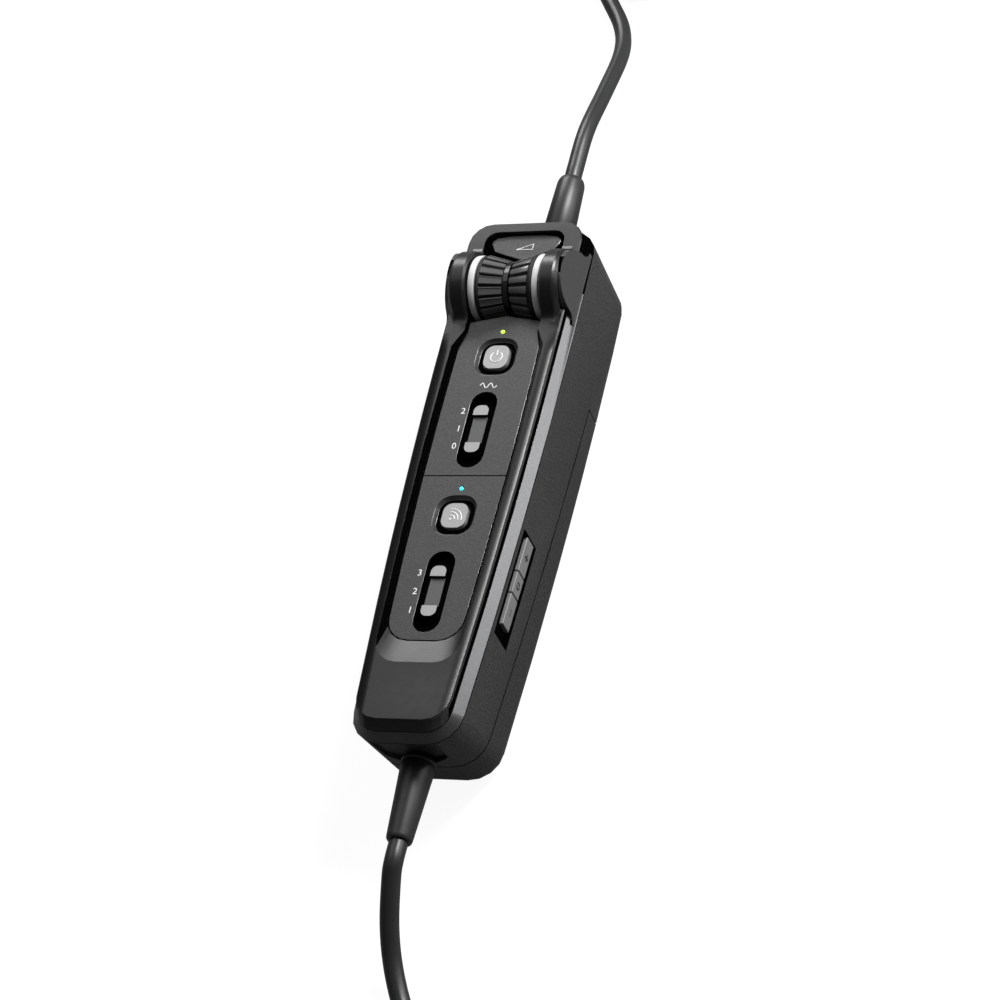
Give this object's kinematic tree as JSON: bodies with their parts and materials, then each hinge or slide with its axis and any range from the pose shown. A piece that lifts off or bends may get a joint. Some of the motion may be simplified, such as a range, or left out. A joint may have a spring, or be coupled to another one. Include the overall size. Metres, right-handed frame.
{
  "type": "aviation headset control module",
  "caption": "Slim in-line control box with two thumb wheels, two push buttons, two slide switches and side keys, on a headset cord that ends in plugs.",
  "frame": {"origin": "middle of the box's back face, under the middle of its length, without the cords", "axes": "+Z out of the front face with the controls, +Y along the box towards the two volume wheels, +X towards the side keys"},
  "size_m": [0.0354, 0.6202, 0.0421],
  "materials": {
    "aircraft_plug_body": "black moulding",
    "aircraft_plug_shank": "satin dark grey cable jacket",
    "battery_door": "fine-grained dark grey moulding",
    "earcup_plug_body": "black moulding",
    "earcup_plug_sleeve": "nickel-plated sleeve",
    "front_cover": "smooth satin dark grey",
    "front_shell": "satin grey paint on the visible band",
    "key_board": "green circuit board",
    "left_cell": "plain sleeve with steel ends",
    "left_volume_control": "plated can",
    "left_wheel_ring": "near-white ring",
    "left_wheel_tread": "glossy black ribbed rubber",
    "link_key": "grey rubber",
    "lower_boot": "satin black rubber",
    "lower_contact": "nickel plate",
    "lower_cord": "satin dark grey cable jacket",
    "lower_hank": "satin dark grey cable jacket",
    "lower_left_screw": "zinc-plated steel",
    "lower_plate": "satin grey",
    "lower_right_screw": "zinc-plated steel",
    "lower_slide_switch": "plated can",
    "lower_slider": "light grey tabs on a black foot",
    "lower_tie": "black woven hook-and-loop tie",
    "main_board": "green circuit board",
    "minus_key": "grey rubber",
    "plus_key": "grey rubber",
    "power_button": "satin silver",
    "power_light": "green-yellow light pipe",
    "power_press_switch": "plated can",
    "rear_housing": "fine-grained dark grey moulding",
    "right_cell": "plain sleeve with steel ends",
    "right_volume_control": "plated can",
    "right_wheel_ring": "near-white ring",
    "right_wheel_tread": "glossy black ribbed rubber",
    "setup_switch_block": "red switch block",
    "upper_boot": "satin black rubber",
    "upper_contact": "nickel plate",
    "upper_cord": "satin dark grey cable jacket",
    "upper_hank": "satin dark grey cable jacket",
    "upper_left_screw": "zinc-plated steel",
    "upper_plate": "satin grey",
    "upper_right_screw": "zinc-plated steel",
    "upper_slide_switch": "plated can",
    "upper_slider": "light grey tabs on a black foot",
    "upper_tie": "black woven hook-and-loop tie",
    "volume_plate": "satin grey",
    "wheel_divider": "black fin",
    "wireless_button": "satin silver",
    "wireless_light": "cyan light pipe",
    "wireless_press_switch": "plated can"
  },
  "bodies": {
    "body": {"aircraft_plug_body": "aircraft_plug_body", "aircraft_plug_shank": "aircraft_plug_shank", "earcup_plug_body": "earcup_plug_body", "earcup_plug_sleeve": "earcup_plug_sleeve", "front_cover": "front_cover", "front_shell": "front_shell", "key_board": "key_board", "left_cell": "left_cell", "left_volume_control": "left_volume_control", "lower_boot": "lower_boot", "lower_contact": "lower_contact", "lower_cord": "lower_cord", "lower_hank": "lower_hank", "lower_left_screw": "lower_left_screw", "lower_plate": "lower_plate", "lower_right_screw": "lower_right_screw", "lower_slide_switch": "lower_slide_switch", "lower_tie": "lower_tie", "main_board": "main_board", "power_light": "power_light", "power_press_switch": "power_press_switch", "rear_housing": "rear_housing", "right_cell": "right_cell", "right_volume_control": "right_volume_control", "setup_switch_block": "setup_switch_block", "upper_boot": "upper_boot", "upper_contact": "upper_contact", "upper_cord": "upper_cord", "upper_hank": "upper_hank", "upper_left_screw": "upper_left_screw", "upper_plate": "upper_plate", "upper_right_screw": "upper_right_screw", "upper_slide_switch": "upper_slide_switch", "upper_tie": "upper_tie", "volume_plate": "volume_plate", "wheel_divider": "wheel_divider", "wireless_light": "wireless_light", "wireless_press_switch": "wireless_press_switch"},
    "right_wheel": {"right_wheel_tread": "right_wheel_tread", "right_wheel_ring": "right_wheel_ring"},
    "left_wheel": {"left_wheel_tread": "left_wheel_tread", "left_wheel_ring": "left_wheel_ring"},
    "power_press": {"power_button": "power_button"},
    "wireless_press": {"wireless_button": "wireless_button"},
    "upper_slide": {"upper_slider": "upper_slider"},
    "lower_slide": {"lower_slider": "lower_slider"},
    "plus_press": {"plus_key": "plus_key"},
    "link_press": {"link_key": "link_key"},
    "minus_press": {"minus_key": "minus_key"},
    "door": {"battery_door": "battery_door"}
  },
  "joints": [
    {"name": "right_wheel_turn", "type": "hinge", "parent": "body", "child": "right_wheel", "pos_m": [0, 0.0549, 0.03224], "axis": [1, 0, 0], "range_deg": [-140, 140]},
    {"name": "left_wheel_turn", "type": "hinge", "parent": "body", "child": "left_wheel", "pos_m": [0, 0.0549, 0.03224], "axis": [1, 0, 0], "range_deg": [-140, 140]},
    {"name": "power_button_press", "type": "slide", "parent": "body", "child": "power_press", "axis": [0, 0, -1], "range_m": [0, 0.0006], "stiffness_N_per_m": 600, "springref_m": -0.00015},
    {"name": "wireless_button_press", "type": "slide", "parent": "body", "child": "wireless_press", "axis": [0, 0, -1], "range_m": [0, 0.0006], "stiffness_N_per_m": 600, "springref_m": -0.00015},
    {"name": "upper_switch_slide", "type": "slide", "parent": "body", "child": "upper_slide", "axis": [0, 1, 0], "range_m": [-0.0033, 0.0033]},
    {"name": "lower_switch_slide", "type": "slide", "parent": "body", "child": "lower_slide", "axis": [0, 1, 0], "range_m": [-0.0033, 0.0033]},
    {"name": "plus_key_press", "type": "slide", "parent": "body", "child": "plus_press", "axis": [-1, 0, 0], "range_m": [0, 0.0005], "stiffness_N_per_m": 500, "springref_m": -0.00013},
    {"name": "link_key_press", "type": "slide", "parent": "body", "child": "link_press", "axis": [-1, 0, 0], "range_m": [0, 0.0005], "stiffness_N_per_m": 500, "springref_m": -0.00013},
    {"name": "minus_key_press", "type": "slide", "parent": "body", "child": "minus_press", "axis": [-1, 0, 0], "range_m": [0, 0.0005], "stiffness_N_per_m": 500, "springref_m": -0.00013},
    {"name": "battery_door_lift", "type": "slide", "parent": "body", "child": "door", "axis": [0, 0, -1], "range_m": [0, 0.025]}
  ]
}
